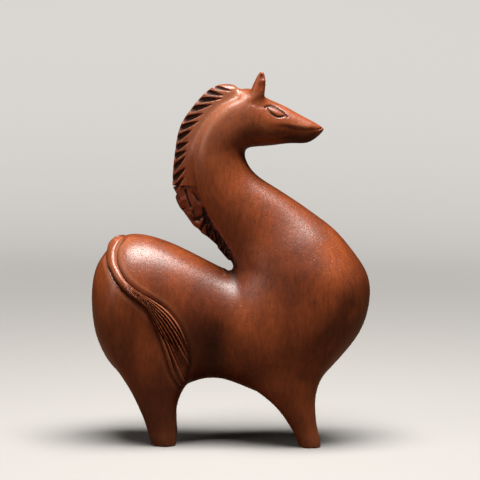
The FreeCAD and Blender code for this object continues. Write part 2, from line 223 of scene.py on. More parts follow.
# Notches of the mane: the outer end, the inner end, and how wide the cut is as a share
UPPER_NOTCH_SHARES = (
    (-0.066, 0.956, -0.005, 0.943, 0.70),
    (-0.098, 0.942, -0.033, 0.932, 0.85),
    (-0.123, 0.919, -0.041, 0.924, 0.95),
    (-0.150, 0.894, -0.076, 0.908, 1.00),
    (-0.172, 0.867, -0.106, 0.884, 1.00),
    (-0.192, 0.842, -0.120, 0.864, 1.00),
    (-0.198, 0.815, -0.145, 0.840, 1.00),
    (-0.202, 0.790, -0.157, 0.808, 1.00),
    (-0.206, 0.767, -0.163, 0.785, 0.95),
    (-0.209, 0.735, -0.167, 0.769, 0.95),
    (-0.210, 0.706, -0.164, 0.741, 0.90),
    (-0.208, 0.679, -0.168, 0.717, 0.80),
)
LOWER_NOTCH_SHARES = (
    (-0.176, 0.628, -0.150, 0.635, 0.36),
    (-0.112, 0.570, -0.090, 0.612, 0.50),
    (-0.087, 0.552, -0.059, 0.595, 0.62),
    (-0.062, 0.530, -0.038, 0.563, 0.60),
    (-0.039, 0.514, -0.018, 0.539, 0.52),
    (-0.019, 0.499, 0.002, 0.518, 0.45),
)


def size_setting(name, description, millimetres):
    """A setting that is a length, with its default in millimetres."""
    return FloatProperty(name=name, description=description, default=millimetres * MM, unit="LENGTH")


def share_setting(name, description, default):
    """A setting that is a share of one."""
    return FloatProperty(name=name, description=description, default=default, subtype="FACTOR")


def lamp_setting(name, description, watts):
    """A setting that is the strength of a lamp."""
    return FloatProperty(name=name, description=description, default=watts, unit="POWER")


def color_setting(name, description, color):
    """A setting that is a colour."""
    return FloatVectorProperty(name=name, description=description, default=color, subtype="COLOR")


class BodySettings(bpy.types.PropertyGroup):
    """How the two boards of the body are carved"""

    grid: size_setting("Grid", "Spacing of the carved surface", 0.88)
    soften: IntProperty(name="Soften", description="How much the legs flow into the trunk", default=60)
    fillet: IntProperty(name="Fillet", description="How much the crest and the ears flow in", default=150)
    cove: size_setting("Cove", "Depth of the hollow beside the mane", 1.1)
    ridge: size_setting("Ridge", "Height of the ridge between that hollow and the neck", 0.35)
    lid_depth: size_setting("Lid depth", "Depth of the cuts round the eye", 0.75)
    jaw: size_setting("Jaw", "How far the jaw is cut back below the nose", 1.1)
    flank: size_setting("Flank", "Depth of the hollow in front of the thigh", 4.0)
    tail_hollow: size_setting("Tail hollow", "Depth of the ground beside the tail", 1.7)
    glue_line: size_setting("Glue line", "Depth of the worn joint between the boards", 0.22)


class ManeSettings(bpy.types.PropertyGroup):
    """How the mane is cut"""

    grid: size_setting("Grid", "Spacing of the carved surface", 0.32)
    notch: size_setting("Notch", "Radius of a notch at its outer end", 2.3)
    lock_depth: size_setting("Lock depth", "Depth of the cuts in the lower mane", 1.5)


class TailSettings(bpy.types.PropertyGroup):
    """How the tail stands on the haunch"""

    proud: size_setting("Proud", "How far the strap stands off the haunch", 2.3)
    groove: size_setting("Groove", "Depth of the cuts between the strands", 1.9)
    strands: IntProperty(name="Strands", description="How many strands the fan has", default=8)
    fan_start: share_setting("Fan start", "Where along the tail its strands begin", 0.31)


class WoodSettings(bpy.types.PropertyGroup):
    """Colours of the wood"""

    body: color_setting("Body", "Polished wood", (0.272, 0.060, 0.0155))
    shade: color_setting("Shade", "Darker clouds in the polish", (0.118, 0.023, 0.006))
    # Stain colour: old polish and pores in the wood, and painted shade in the cuts, beside the tail, below
    # the jaw, on the faces turning downwards and at the feet
    stain: color_setting("Stain", "Old polish in the hollows", (0.026, 0.006, 0.002))
    # Worn colour: edges rubbed by hands, and painted light along the crest's cove and on the upper neck
    # and head
    worn: color_setting("Worn", "Where hands have rubbed the edges", (0.40, 0.145, 0.070))
    roughness: share_setting("Roughness", "How dull the polish is", 0.39)


class StageSettings(bpy.types.PropertyGroup):
    """Floor and lamps"""

    floor: color_setting("Floor", "Colour of the floor", (0.36, 0.352, 0.34))
    key: lamp_setting("Top lamp", "Strength of the large lamp above", 36.0)
    fill: lamp_setting("Left lamp", "Strength of the lamp on the left", 3.5)
    show: BoolProperty(name="Show floor", description="Leaves the floor in", default=True)


class HorseSettings(bpy.types.PropertyGroup):
    """All settings of the horse"""

    body: PointerProperty(type=BodySettings)
    mane: PointerProperty(type=ManeSettings)
    tail: PointerProperty(type=TailSettings)
    wood: PointerProperty(type=WoodSettings)
    stage: PointerProperty(type=StageSettings)


def side_view(shares):
    """Points of the side view in metres, as an array of X and Z."""
    return np.array(shares)[..., :2] * (LENGTH, HEIGHT)


def line_distance(points, line):
    """How far each point is from a line of the side view."""
    nearest = np.full(len(points), np.inf)
    for start, end in zip(line, line[1:]):
        run = end - start
        share = np.clip((points - start) @ run / (run @ run), 0, 1)
        gap = points - start - share[:, None] * run
        nearest = np.minimum(nearest, np.linalg.norm(gap, axis=1))
    return nearest


def ramp(values, low, high):
    """Rises smoothly from 0 at low to 1 at high."""
    share = np.clip((values - low) / (high - low), 0, 1)
    return share * share * (3 - 2 * share)


def band(values, start, full, fade, end):
    """Rises from 0 to 1 between the first two limits, and falls back between the last two."""
    return ramp(values, start, full) * (1 - ramp(values, fade, end))


def bell(distance, width):
    """Falls smoothly from 1 at no distance towards 0 beyond the width."""
    return np.exp(-((distance / width) ** 2))


def smooth_line(points, count):
    """A smooth line through the points, with count points evenly spaced along it."""
    points = np.asarray(points, float)
    padded = np.vstack([2 * points[0] - points[1], points, 2 * points[-1] - points[-2]])
    fine = []
    steps = np.linspace(0, 1, 24, endpoint=False)[:, None]
    for before, first, last, after in zip(padded, padded[1:], padded[2:], padded[3:]):
        bend = 2 * before - 5 * first + 4 * last - after
        twist = 3 * (first - last) + after - before
        fine.append(first + 0.5 * steps * (last - before + steps * (bend + steps * twist)))
    fine = np.vstack(fine + [points[-1:]])
    run = np.concatenate([[0], np.cumsum(np.linalg.norm(np.diff(fine[:, :2], axis=0), axis=1))])
    spots = np.linspace(0, run[-1], count)
    return np.column_stack([np.interp(spots, run, column) for column in fine.T])


def drawn(shares, count):
    """A table of the side view as a smooth line in metres."""
    return smooth_line(side_view(shares), count)


def gap_to(flat, shares, count):
    """How far each point of the side view is from a smoothed line."""
    return line_distance(flat, drawn(shares, count))


def read_rows(items, name, width, kind=float):
    """One value of each item of a mesh, as the rows of an array."""
    rows = np.empty(len(items) * width, kind)
    items.foreach_get(name, rows)
    return rows.reshape(-1, width)


def read_points(mesh):
    """The places of a mesh's vertices."""
    return read_rows(mesh.vertices, "co", 3)


def read_normals(mesh):
    """The directions out of a mesh at its vertices."""
    return read_rows(mesh.vertex_normals, "vector", 3)


def read_edges(mesh):
    """The two ends of each of a mesh's edges."""
    return read_rows(mesh.edges, "vertices", 2, np.int64)


def write_points(mesh, points):
    """Move a mesh's vertices to new places."""
    mesh.vertices.foreach_set("co", points.ravel())
    mesh.update()


def neighbour_mean(values, edges):
    """For each vertex, the mean of its neighbours."""
    ends = np.concatenate([edges[:, 0], edges[:, 1]])
    others = np.concatenate([edges[:, 1], edges[:, 0]])
    count = np.maximum(np.bincount(ends, minlength=len(values)), 1)
    columns = [np.bincount(ends, column[others], len(values)) / count for column in values.T]
    return np.column_stack(columns)


def soften(points, edges, weight, steps):
    """Rub the surface down, more where the weight is higher."""
    for _ in range(steps):
        points = points + weight[:, None] * 0.5 * (neighbour_mean(points, edges) - points)
    return points


def mark_relief(mesh, steps, depth, extra=0.0, plain=0.0):
    """Note on each vertex how far it stands proud of, or lies below, its surroundings."""
    points = read_points(mesh)
    flat = soften(points, read_edges(mesh), np.ones(len(points)), steps)
    relief = np.einsum("ij,ij->i", points - flat, read_normals(mesh)) / depth
    values = mesh.attributes.new("relief", "FLOAT", "POINT")
    # extra adds each piece's marks on top of the carved relief: old polish, wear, painted shade and
    # painted light
    values.data.foreach_set("value", np.clip(relief * (1 - plain) + extra, -1, 1))


@contextmanager
def edited(mesh):
    """Opens a mesh for work on its faces, and puts the result back."""
    build = bmesh.new()
    build.from_mesh(mesh)
    yield build
    build.to_mesh(mesh)
    build.free()


def everything(build):
    """All corners, edges and faces of an open mesh."""
    return build.verts[:] + build.edges[:] + build.faces[:]


def face_outward(mesh):
    """Turn the faces of a closed mesh outwards."""
    with edited(mesh) as build:
        bmesh.ops.recalc_face_normals(build, faces=build.faces)


def slice_along(build, place, direction, slack, drop=True):
    """Cut along a plane, drop what lies beyond it, and return the edges of the cut."""
    cut = bmesh.ops.bisect_plane(build, geom=everything(build), dist=slack, plane_co=place,
                                 plane_no=direction, clear_outer=drop)
    return [item for item in cut["geom_cut"] if isinstance(item, bmesh.types.BMEdge)]


def evaluated_copy(source, name):
    """A plain mesh of an object with its modifiers applied."""
    mesh = bpy.data.meshes.new_from_object(source.evaluated_get(bpy.context.evaluated_depsgraph_get()))
    mesh.name = name
    return mesh


def show(data, name):
    """Put a mesh, a lamp or a camera in the scene as a new object."""
    holder = bpy.data.objects.new(name, data)
    bpy.context.collection.objects.link(holder)
    return holder


def remesh(source, spacing):
    """The same shape with an even grid of faces."""
    helper = show(source, "helper")
    grid = helper.modifiers.new("Grid", "REMESH")
    grid.mode = "VOXEL"
    grid.voxel_size = spacing
    mesh = evaluated_copy(helper, source.name)
    bpy.data.objects.remove(helper)
    bpy.data.meshes.remove(source)
    return mesh


def surface_tree(mesh):
    """A search tree over a mesh."""
    build = bmesh.new()
    build.from_mesh(mesh)
    tree = BVHTree.FromBMesh(build)
    build.free()
    return tree


def keep_largest(mesh):
    """Delete the closed hollows inside, and keep the outer skin."""
    edges = read_edges(mesh)
    label = np.arange(len(mesh.vertices))
    changed = True
    while changed:
        lowest = np.minimum(label[edges[:, 0]], label[edges[:, 1]])
        fresh = label.copy()
        np.minimum.at(fresh, edges[:, 0], lowest)
        np.minimum.at(fresh, edges[:, 1], lowest)
        fresh = fresh[fresh]
        changed = bool((fresh != label).any())
        label = fresh
    skin = np.bincount(label).argmax()
    with edited(mesh) as build:
        build.verts.ensure_lookup_table()
        inner = [build.verts[index] for index in np.flatnonzero(label != skin)]
        bmesh.ops.delete(build, geom=inner, context="VERTS")


def refine(mesh, chosen):
    """Split the edges whose ends are both chosen, for finer carving."""
    inside = chosen(read_points(mesh))
    with edited(mesh) as build:
        edges = [edge for edge in build.edges if all(inside[end.index] for end in edge.verts)]
        bmesh.ops.subdivide_edges(build, edges=edges, cuts=1, use_grid_fill=True)


def prism(outline, reach):
    """A closed slab whose side view is the outline, reaching to both sides."""
    mesh = bpy.data.meshes.new("prism")
    with edited(mesh) as build:
        near, far = [[build.verts.new((x, y, z)) for x, z in outline] for y in (-reach, reach)]
        build.faces.new(near)
        build.faces.new(far[::-1])
        for corners in zip(near, far, np.roll(far, -1), np.roll(near, -1)):
            build.faces.new(corners)
        bmesh.ops.triangulate(build, faces=build.faces[:])
        bmesh.ops.recalc_face_normals(build, faces=build.faces[:])
    return mesh


def combine(mesh, tool, operation):
    """The mesh with another closed mesh cut away, or only what both share."""
    helper, other = show(mesh, "helper"), show(tool, "tool")
    change = helper.modifiers.new("Change", "BOOLEAN")
    change.operation = operation
    change.solver = "MANIFOLD"
    change.object = other
    result = evaluated_copy(helper, mesh.name)
    for item in (helper, other):
        bpy.data.objects.remove(item)
    return result


def mane_curtain(inset):
    """A slab over the crest, whose inner edge lies an inset below the root line of the mane."""
    edge = drawn(MANE_SHARES, 60)
    root = drawn(MANE_ROOT_SHARES, 60)
    out = edge - root
    out /= np.linalg.norm(out, axis=1, keepdims=True)
    outline = np.vstack([edge + out * 6 * MM, (root - out * inset)[::-1]])
    return prism(outline, 20 * MM)


def ear_box(side, inset):
    """A box round the upper part of one ear, reaching an inset below its foot."""
    low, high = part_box("right_ear" if side < 0 else "left_ear")
    foot = EAR_FOOT_SHARE * HEIGHT - inset
    size = Vector((40 * MM, 14 * MM, 40 * MM))
    middle = Vector(((low.x + high.x) / 2, side * 9.5 * MM, foot + size.z / 2))
    mesh = bpy.data.meshes.new("ear_box")
    with edited(mesh) as build:
        bmesh.ops.create_cube(build, size=1.0)
        bmesh.ops.transform(build, verts=build.verts, matrix=Matrix.LocRotScale(middle, None, size))
    return mesh


def ear_flare(build):
    """Add the slanting, hollow-sided cone that leads from the poll into the left ear."""
    (foot_x, foot_z), (top_x, top_z) = side_view(EAR_FLARE_SHARES)
    foot = np.array((foot_x, EAR_FLARE_ACROSS[0], foot_z))
    top = np.array((top_x, EAR_FLARE_ACROSS[1], top_z))
    wide, narrow = np.array(EAR_FLARE_REACH)
    angles = np.linspace(0, 2 * math.pi, EAR_FLARE_GRID[1], endpoint=False)
    circle = np.column_stack([np.cos(angles), np.sin(angles), np.zeros(len(angles))])
    rings = []
    for share in np.linspace(0, 1, EAR_FLARE_GRID[0]):
        reach = narrow + (wide - narrow) * (1 - share) ** 2.2
        places = foot * (1 - share) + top * share + circle * (*reach, 0)
        rings.append([build.verts.new(place) for place in places])
    build.faces.new(rings[0][::-1])
    build.faces.new(rings[-1])
    for lower, upper in zip(rings[:-1], rings[1:]):
        for index in range(len(angles)):
            build.faces.new((lower[index - 1], lower[index], upper[index], upper[index - 1]))


def rough_horse(spacing):
    """Body, ears and uncut mane merged into one even surface."""
    mesh = bpy.data.meshes.new("horse")
    blade = mane_blade()
    with edited(mesh) as build:
        for name in ("left_half", "left_ear"):
            build.from_mesh(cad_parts[name].data)
        ear_flare(build)
        copied = bmesh.ops.duplicate(build, geom=everything(build))["geom"]
        corners = [item for item in copied if isinstance(item, bmesh.types.BMVert)]
        faces = [item for item in copied if isinstance(item, bmesh.types.BMFace)]
        bmesh.ops.scale(build, verts=corners, vec=(1, -1, 1))
        bmesh.ops.reverse_faces(build, faces=faces)
        build.from_mesh(blade)
        bmesh.ops.remove_doubles(build, verts=build.verts, dist=0.001 * MM)
    bpy.data.meshes.remove(blade)
    mesh = remesh(mesh, spacing)
    keep_largest(mesh)
    return mesh


def fused_horse(settings):
    """The whole horse, with its legs, crest and ears flowing in and the cove beside the mane."""
    mesh = rough_horse(settings.grid)
    points = read_points(mesh)
    edges = read_edges(mesh)
    height = points[:, 2]
    points = soften(points, edges, band(height, *LEG_BAND), settings.soften)
    points = soften(points, edges, band(height, *THIGH_BAND), 2 * settings.soften)
    write_points(mesh, points)
    flat = points[:, [0, 2]]
    even = soften(points, edges, np.ones(len(points)), 24)
    hollow = ramp(-np.einsum("ij,ij->i", points - even, read_normals(mesh)), 0.05 * MM, 0.45 * MM)
    crest = 1 - ramp(line_distance(flat, side_view(MANE_ROOT_SHARES)), 7 * MM, 14 * MM)
    crest *= ramp(height, 0.52 * HEIGHT, 0.76 * HEIGHT)
    ears = 1 - ramp(np.linalg.norm(flat - side_view(EAR_ROOT_SHARES), axis=1), 12 * MM, 17 * MM)
    weight = np.clip(hollow * np.maximum(crest, ears) * 1.6, 0, 1)[:, None]
    for _ in range(9):
        weight = np.maximum(weight, neighbour_mean(weight, edges))
    points = soften(points, edges, weight[:, 0], settings.fillet)
    points = soften(points, edges, ramp(height, 2 * MM, 4 * MM), 3)
    write_points(mesh, points)
    flat = points[:, [0, 2]]
    cove = bell(gap_to(flat, NECK_COVE_SHARES, 80), 3.6 * MM)
    ridge = bell(gap_to(flat, NECK_RIDGE_SHARES, 80), 2.6 * MM)
    high = ramp(height, 0.70 * HEIGHT, 0.86 * HEIGHT) * ramp(np.abs(points[:, 1]), 1 * MM, 5 * MM)
    depth = high * (settings.cove * cove - settings.ridge * ridge)
    write_points(mesh, points - read_normals(mesh) * depth[:, None])
    return mesh


def body_side(whole, side):
    """One board: the half of the body on one side, closed along the middle."""
    mesh = bpy.data.meshes.new("board")
    inward = (0, -side, 0)
    with edited(mesh) as build:
        build.from_mesh(whole)
        slice_along(build, (0, side * JOINT_WIDTH, 0), inward, 0.01 * MM, drop=False)
        rim = slice_along(build, (0, 0, 0), inward, 0.01 * MM)
        bmesh.ops.triangle_fill(build, edges=rim, use_beauty=False, normal=inward)
        bmesh.ops.recalc_face_normals(build, faces=build.faces)
    return mesh


def near_face(points):
    """Which points are in the part of the head that is carved finely."""
    eye_line = side_view((UPPER_LID_SHARES[0], LOWER_LID_SHARES[-1]))
    eye = (np.abs(points[:, 1]) > 1 * MM) & (line_distance(points[:, [0, 2]], eye_line) < 10 * MM)
    return eye | ((points[:, 0] > 0.272 * LENGTH) & (points[:, 2] > 0.80 * HEIGHT))


def near_joint(points):
    """How near each point lies to where an ear or the mane is let in."""
    root = bell(gap_to(points[:, [0, 2]], MANE_ROOT_SHARES, 60), 1.6 * MM)
    foot = bell(points[:, 2] - EAR_FOOT_SHARE * HEIGHT, 1.6 * MM) * (np.abs(points[:, 1]) > 3 * MM)
    return np.clip(1.5 * np.maximum(root, foot), 0, 1)


def rubbed_and_painted_light(points):
    """How much lighter the crest, the poll and the upper neck and head get: partly polish that hands have
    taken off, partly painted light on the cove and on the upper parts that face the lamp.
    """
    gap = gap_to(points[:, [0, 2]], NECK_COVE_SHARES, 60)
    # Painted light: a lit band along the cove by the crest
    crest = 0.65 * np.exp(-(gap / (7 * MM)) ** 4) * ramp(points[:, 2], 0.74 * HEIGHT, 0.90 * HEIGHT)
    # Lighter towards the top of the neck and the head: wear and painted light
    return crest + 0.20 * ramp(points[:, 2], 0.60 * HEIGHT, 0.84 * HEIGHT)


def everywhere(points):
    """Every point, for a piece that is carved finely all over."""
    return np.ones(len(points), bool)


def near_eye(points):
    """Which points lie round an eye."""
    return np.linalg.norm(points[:, [0, 2]] - side_view(EYE_SHARES), axis=1) < 12 * MM


def inside_outline(points, outline):
    """Which points of the side view lie inside a closed outline."""
    inside = np.zeros(len(points), bool)
    for (x, z), (next_x, next_z) in zip(outline, np.roll(outline, -1, axis=0)):
        spans = (z > points[:, 1]) != (next_z > points[:, 1])
        crossing = x + (points[:, 1] - z) * (next_x - x) / (next_z - z + 1e-12)
        inside ^= spans & (points[:, 0] < crossing)
    return inside


def cut_eye(flat, settings):
    """How deep and how dark the eye and the cuts round it are."""
    upper = gap_to(flat, UPPER_LID_SHARES, 60)
    lower = gap_to(flat, LOWER_LID_SHARES, 60)
    corners = side_view(UPPER_LID_SHARES)[[0, -1], 0]
    broad = np.interp(flat[:, 0], corners, (0.85 * MM, 0.50 * MM))
    depth = settings.lid_depth * (bell(upper, broad) + 0.9 * bell(lower, 0.62 * MM))
    # Darker in the cuts round the eye: old polish and painted shade
    stain = 1.7 * bell(upper, broad) + 1.6 * bell(lower, 0.66 * MM)
    turn = np.array(((math.cos(EYE_TILT), -math.sin(EYE_TILT)), (math.sin(EYE_TILT), math.cos(EYE_TILT))))
    along, across = ((flat - side_view(EYE_SHARES)) @ turn).T
    ball = np.clip(1 - (along / EYE_LENGTH) ** 2 - (across / EYE_HEIGHT) ** 2, 0, 1)
    depth += 0.5 * MM * bell(np.hypot(along, across * 1.6), 9.0 * MM) - 0.6 * MM * ball
    return depth, stain


def cut_muzzle(flat, normals, settings):
    """How deep and how dark the mouth and the jaw are: old polish and painted shade in the mouth's cut,
    and painted shade below the jaw.
    """
    mouth = gap_to(flat, MOUTH_SHARES, 12)
    depth = 0.5 * MM * bell(mouth, 0.5 * MM)
    # Darker in the mouth's cut: old polish and painted shade
    stain = 0.8 * bell(mouth, 0.6 * MM)
    edge = drawn(MUZZLE_EDGE_SHARES, 40)
    below = np.interp(flat[:, 0], edge[::-1, 0], edge[::-1, 1]) - flat[:, 1]
    jaw = ramp(flat[:, 0], edge[-1, 0] - 12 * MM, edge[-1, 0] + 10 * MM)
    jaw *= ramp(flat[:, 1], 0.78 * HEIGHT, 0.80 * HEIGHT)
    jaw *= 1 - ramp(flat[:, 0], edge[0, 0] - 8 * MM, edge[0, 0] + 2 * MM)
    # Painted shade below the muzzle's edge, where the jaw faces away from the light
    stain += 0.50 * jaw * ramp(below, -0.5 * MM, 2.5 * MM)
    jaw *= ramp(np.abs(normals[:, 1]), 0.35, 0.80)
    depth += jaw * (settings.jaw * ramp(below, -1.5 * MM, 2.0 * MM) + 0.10 * np.clip(below, 0, 10 * MM))
    return depth, stain


def clear_tail(points, settings):
    """How deep the ground beside the tail and beneath it is, and how dark the painted shadow along the
    tail's edges is.
    """
    flat = points[:, [0, 2]]
    outer, inner = drawn(TAIL_OUTER_SHARES, 90), drawn(TAIL_INNER_SHARES, 90)
    outline = np.vstack([outer, drawn(TAIL_END_SHARES, 30)[1:-1], inner[::-1]])
    gap = line_distance(flat, outline)
    gap = np.where(inside_outline(flat, outline), gap, -gap)
    strap = ramp(flat[:, 1], 0.33 * HEIGHT, 0.42 * HEIGHT)
    fade = ramp(-points[:, 1], 3 * MM, 11 * MM)
    depth = fade * settings.tail_hollow * (0.30 + 0.70 * strap) * bell(gap, 1.9 * MM)
    depth += (0.1 + 1.1 * fade * strap) * MM * ramp(gap, -0.2 * MM, 1.2 * MM)
    # Painted shadow along the tail's edges, strongest beside the strap
    return depth, (0.15 + 0.45 * strap) * fade * bell(gap, 1.3 * MM)


def carve_details(mesh, side, settings):
    """Carve one board, and tell how dark it gets: old polish and painted shade in its hollows and cuts,
    painted shade beside the tail, below the jaw, on the faces that turn downwards and at its feet, and its
    dark joint.
    """
    points = read_points(mesh)
    normals = read_normals(mesh)
    flat = points[:, [0, 2]]
    cuts = [cut_eye(flat, settings), cut_muzzle(flat, normals, settings)]
    if side < 0:
        cuts.append(clear_tail(points, settings))
    depth, stain = np.sum(cuts, axis=0)
    flank = np.linalg.norm((flat - side_view(FLANK_SHARES)) * (1.2, 0.8), axis=1)
    depth += settings.flank * bell(flank, 13 * MM)
    depth += 0.15 * MM * bell(gap_to(flat, EAR_CREASE_SHARES, 16), 1.2 * MM)
    depth += 1.0 * MM * bell(gap_to(flat, CHEST_FOLD_SHARES, 40), 6 * MM)
    outside = ramp(side * points[:, 1], 0.2 * MM, 2.5 * MM)
    rim = np.abs(points[:, 1]) < 0.02 * MM
    points = points - normals * (depth * outside)[:, None]
    front = bell(line_distance(flat, side_view(GLUE_LINE_SHARES)), 22 * MM)
    points[rim] -= normals[rim] * (1, 0, 1) * (settings.glue_line * (0.3 + 0.7 * front[rim, None]))
    write_points(mesh, points)
    # Painted shade: darker on the faces that turn downwards, and a painted contact shadow at the bottoms
    # of the feet
    painted_shade_below = 0.45 * ramp(-normals[:, 2], 0.05, 0.9) + 0.45 * (1 - ramp(points[:, 2], 0.5 * MM, 4 * MM))
    return -np.clip(stain * outside, 0, 1) - painted_shade_below - np.where(rim, 0.25 + 0.75 * front, 0)


def tail_grid(rows, columns):
    """Places on the floor of the tail's bed, with the direction out of the haunch."""
    steps = np.arange(400)
    outer = drawn(TAIL_OUTER_SHARES, len(steps))
    inner = drawn(TAIL_INNER_SHARES, len(steps))
    end = drawn(TAIL_END_SHARES, columns)
    haunch = surface_tree(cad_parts["left_half"].data)
    far = np.zeros((rows, columns, 3))
    spots = np.linspace(0, 1, rows) ** 1.35
    shares = np.linspace(0.01, 0.99, columns)
    for row, spot in enumerate(spots):
        place = spot * steps[-1]
        first, last = [[np.interp(place, steps, axis) for axis in edge.T] for edge in (outer, inner)]
        line = np.outer(1 - shares, first) + np.outer(shares, last)
        bend = end - np.outer(1 - shares, outer[-1]) - np.outer(shares, inner[-1])
        line += ramp(np.array(spot), 0.62, 1.0) * bend
        for column, (x, z) in enumerate(line):
            hit = haunch.ray_cast(Vector((x, 0.1, z)), Vector((0, -1, 0)))[0]
            far[row, column] = (x, -hit.y, z) if hit else (x, 0, z)
    for _ in range(6):
        far[1:-1] += 0.5 * ((far[:-2] + far[2:]) / 2 - far[1:-1])
        far[:, 1:-1] += 0.5 * ((far[:, :-2] + far[:, 2:]) / 2 - far[:, 1:-1])
    out = np.cross(np.gradient(far, axis=1), np.gradient(far, axis=0))
    out /= np.linalg.norm(out, axis=2, keepdims=True)
    if out[rows // 2, columns // 2, 1] > 0:
        out = -out
    return far - out * TAIL_BED, out, spots, shares


def set_attribute(mesh, name, kind, values):
    """Note a value or a direction on each vertex."""
    slot = {"FLOAT": "value", "FLOAT_VECTOR": "vector"}[kind]
    mesh.attributes.new(name, kind, "POINT").data.foreach_set(slot, np.asarray(values, float).ravel())


def tail_blank(rows, columns):
    """A closed thin strip in the bed, marked for the nodes that raise its strands."""
    places, out, spots, shares = tail_grid(rows, columns)
    count = rows * columns
    index = np.arange(count).reshape(rows, columns)
    quads = np.stack([index[:-1, :-1], index[1:, :-1], index[1:, 1:], index[:-1, 1:]], -1).reshape(-1, 4)
    rim = np.concatenate([index[0, :], index[1:, -1], index[-1, -2::-1], index[-2:0:-1, 0]])
    after = np.roll(rim, -1)
    walls = np.stack([rim, after, after + count, rim + count], -1)
    faces = np.concatenate([quads + count, quads[:, ::-1], walls])
    points = np.concatenate([(places + out * lift * MM).reshape(-1, 3) for lift in (-0.3, 0.3)])
    mesh = bpy.data.meshes.new("tail_blank")
    mesh.from_pydata(points.tolist(), [], faces.tolist())
    set_attribute(mesh, "along", "FLOAT", np.tile(np.repeat(spots, columns), 2))
    set_attribute(mesh, "across", "FLOAT", np.tile(shares, 2 * rows))
    set_attribute(mesh, "lift", "FLOAT", np.repeat((0.0, 1.0), count))
    set_attribute(mesh, "outward", "FLOAT_VECTOR", np.concatenate([out.reshape(-1, 3)] * 2))
    face_outward(mesh)
    return mesh


def new_tree(name, kind, inputs, outputs):
    """A node group with named sockets, its input node and its output node."""
    tree = bpy.data.node_groups.new(name, kind)
    for way, sockets in (("INPUT", inputs), ("OUTPUT", outputs)):
        for label, socket in sockets.items():
            tree.interface.new_socket(label, in_out=way, socket_type="NodeSocket" + socket)
    return tree, tree.nodes.new("NodeGroupInput"), tree.nodes.new("NodeGroupOutput")


def feed(tree, node, **inputs):
    """Give a node its inputs, each a value or another node's socket."""
    for name, value in inputs.items():
        label = name.replace("_", " ")
        numbered = label[0] == "i" and label[1:].isdigit()
        socket = node.inputs[int(label[1:]) if numbered else label]
        if isinstance(value, bpy.types.NodeSocket):
            tree.links.new(value, socket)
        else:
            socket.default_value = value
    return node


def add_node(tree, kind, settings=(), **inputs):
    """A new node with its settings and its inputs."""
    node = tree.nodes.new(kind)
    for name, value in dict(settings).items():
        setattr(node, name, value)
    return feed(tree, node, **inputs)


def calc(tree, operation, *values):
    """The result of one sum on sockets or numbers."""
    named = {f"i{place}": value for place, value in enumerate(values)}
    return add_node(tree, "ShaderNodeMath", {"operation": operation}, **named).outputs[0]


def between(tree, value, low, high, kind="SMOOTHSTEP", **more):
    """A value brought to 0 at the first limit and to 1 at the second."""
    return add_node(tree, "ShaderNodeMapRange", {"interpolation_type": kind}, Value=value, From_Min=low,
                    From_Max=high, **more).outputs[0]


def blended(tree, share, first, second):
    """Two colours mixed by a share of the second."""
    return add_node(tree, "ShaderNodeMix", {"data_type": "RGBA"}, i0=share, i6=first, i7=second).outputs[2]


def named_value(tree, name, kind="FLOAT"):
    """A value that was noted on the mesh."""
    return add_node(tree, "GeometryNodeInputNamedAttribute", {"data_type": kind}, Name=name).outputs[0]


def apply_tree(mesh, tree, values, name):
    """Run a geometry tree on a mesh and return the plain result."""
    helper = show(mesh, "helper")
    modifier = helper.modifiers.new("Tree", "NODES")
    modifier.node_group = tree
    for item in tree.interface.items_tree:
        if item.item_type == "SOCKET" and item.in_out == "INPUT" and item.name in values:
            modifier[item.identifier] = values[item.name]
    result = evaluated_copy(helper, name)
    bpy.data.objects.remove(helper)
    bpy.data.meshes.remove(mesh)
    return result


def end_tree(tree, shape, given, result):
    """End a geometry tree with real faces and their wood."""
    real = add_node(tree, "GeometryNodeRealizeInstances", Geometry=shape)
    coated = add_node(tree, "GeometryNodeSetMaterial", Geometry=real.outputs[0],
                      Material=given.outputs["Material"])
    feed(tree, result, Geometry=coated.outputs[0])
    return tree


